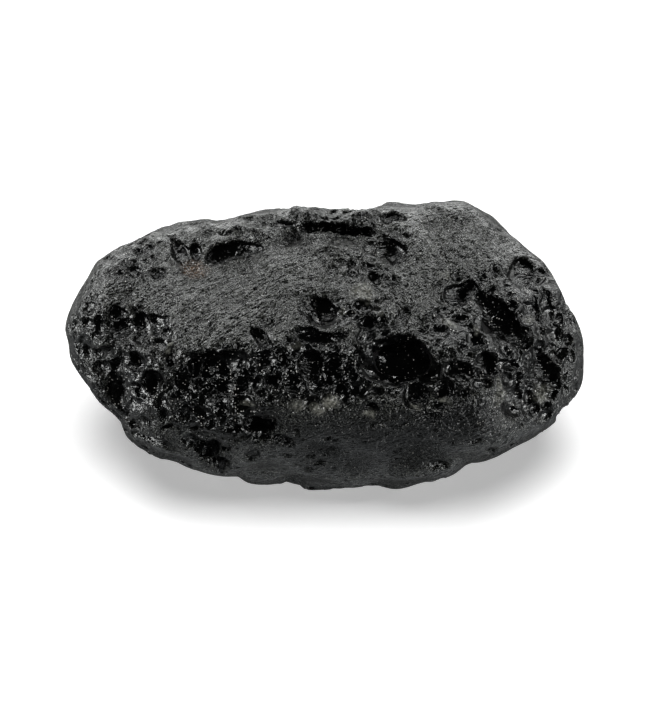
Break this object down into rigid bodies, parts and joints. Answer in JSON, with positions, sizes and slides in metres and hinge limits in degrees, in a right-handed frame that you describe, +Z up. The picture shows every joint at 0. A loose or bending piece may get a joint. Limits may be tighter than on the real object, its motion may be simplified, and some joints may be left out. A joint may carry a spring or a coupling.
{
  "type": "tektite",
  "caption": "Tektite, a natural lump of black glass shaped like a worn loaf, with a pitted surface and a flat patch to rest on.",
  "frame": {"origin": "floor level under the middle of the stone's bounding box, on the plane of the flat patch that it rests on", "axes": "+X along the stone's length towards its right-hand end as shown, +Y towards its back, +Z up"},
  "size_m": [0.0698, 0.0446, 0.0357],
  "materials": {
    "tektite_glass": "weathered natural black glass, matte and finely grained on the worn faces and glossier in the pits"
  },
  "bodies": {
    "root": {"tektite": "tektite_glass"}
  },
  "joints": []
}
